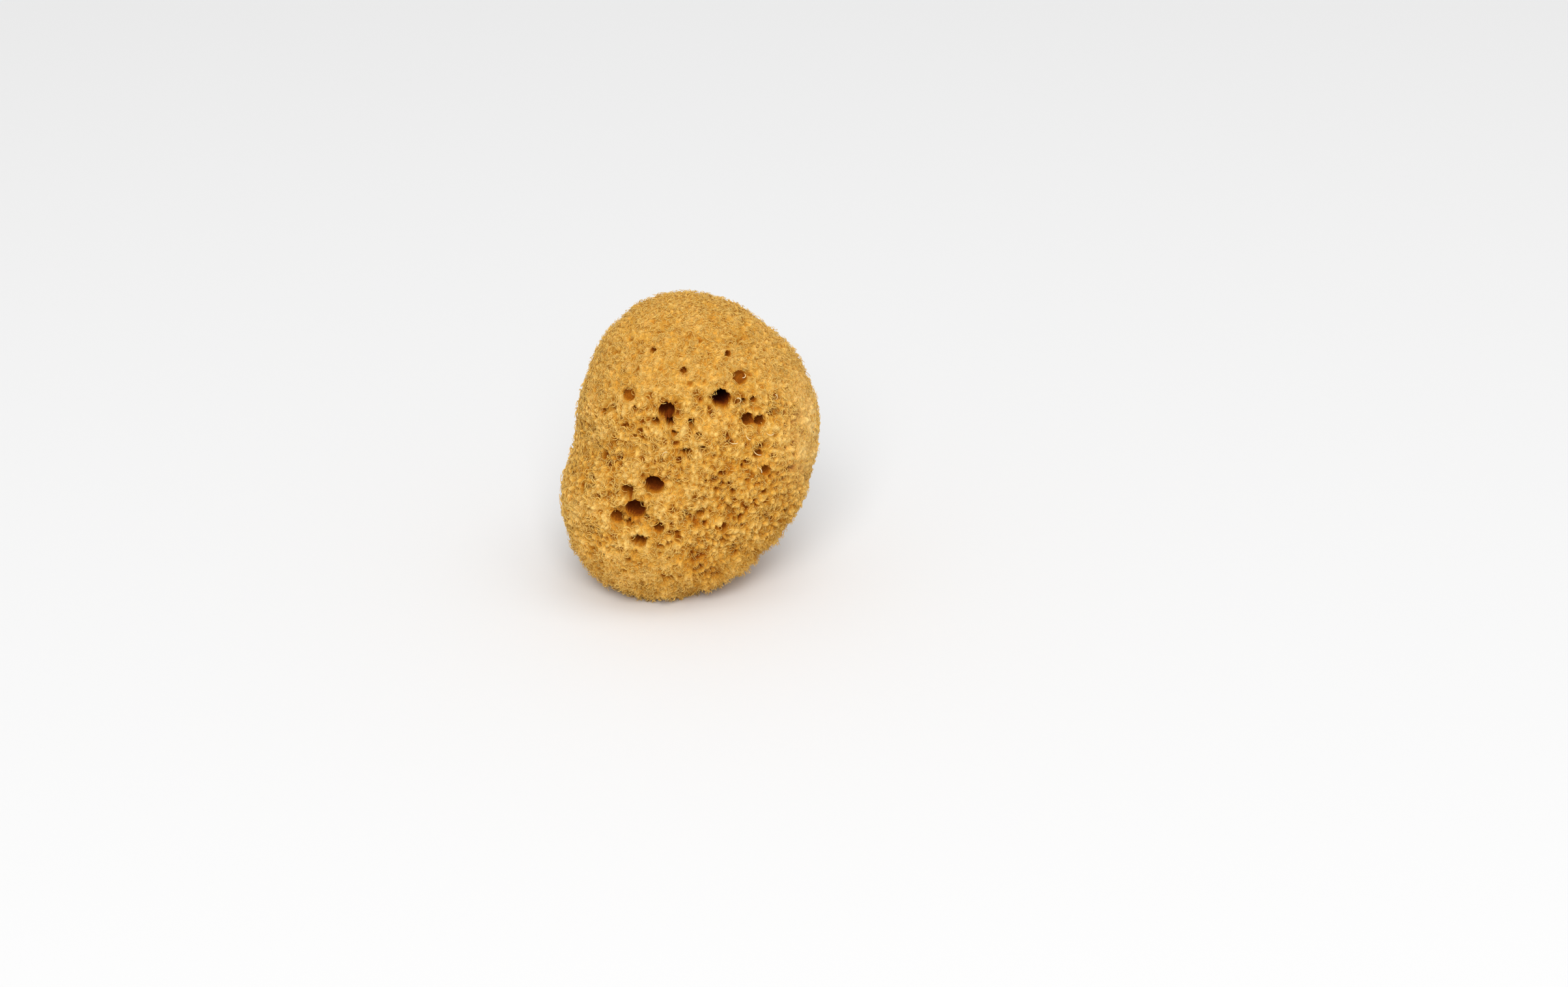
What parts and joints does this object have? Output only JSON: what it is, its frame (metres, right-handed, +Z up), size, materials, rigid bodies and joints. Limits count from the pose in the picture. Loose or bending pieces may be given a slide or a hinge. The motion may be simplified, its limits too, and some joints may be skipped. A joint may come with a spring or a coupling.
{
  "type": "sea sponge",
  "caption": "Small natural silk sponge, a soft lobed pillow pitted by round holes and fine pores, standing on its flat cut base; for washing and for make-up.",
  "frame": {"origin": "middle of the object's box in X and Y, on the plane of the flat cut base", "axes": "+Z up, -Y out of the broad front face, +X to its right as seen from the front"},
  "size_m": [0.0502, 0.0405, 0.0563],
  "materials": {
    "sponge": "matte golden tan fibre, like felt, with darker brown pits"
  },
  "bodies": {
    "root": {"sponge": "sponge"}
  },
  "joints": []
}
